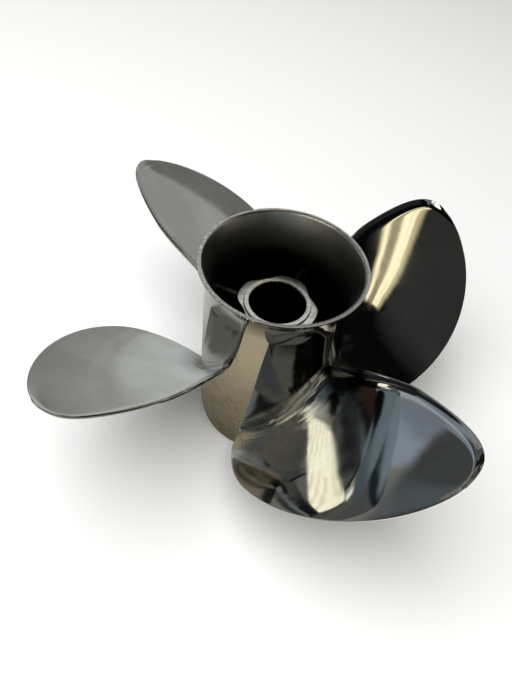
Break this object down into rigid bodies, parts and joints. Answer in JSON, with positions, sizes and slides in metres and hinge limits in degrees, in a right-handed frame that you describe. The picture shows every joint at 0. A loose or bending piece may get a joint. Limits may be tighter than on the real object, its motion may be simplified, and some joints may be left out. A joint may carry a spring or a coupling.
{
  "type": "outboard boat propeller",
  "caption": "Right-hand outboard boat propeller: skewed, raked blades on an open barrel, with an inner hub held by radial ribs so that exhaust passes through.",
  "frame": {"origin": "on the shaft's axis, in the plane of the barrel's forward rim, on which the propeller stands", "axes": "+Z along the shaft's axis, pointing aft, the way the exhaust leaves; the ribs lie on the diagonals between X and Y"},
  "size_m": [0.354, 0.354, 0.1635],
  "materials": {
    "polished_stainless": "hand-polished stainless steel casting, mirror bright with fine polishing marks",
    "cast_stainless": "dull cast and turned stainless steel"
  },
  "bodies": {
    "root": {"outer_barrel": "polished_stainless", "inner_hub": "cast_stainless", "rib_1": "cast_stainless", "rib_2": "cast_stainless", "rib_3": "cast_stainless", "rib_4": "cast_stainless", "blade_1": "polished_stainless", "blade_2": "polished_stainless", "blade_3": "polished_stainless", "blade_4": "polished_stainless"}
  },
  "joints": []
}
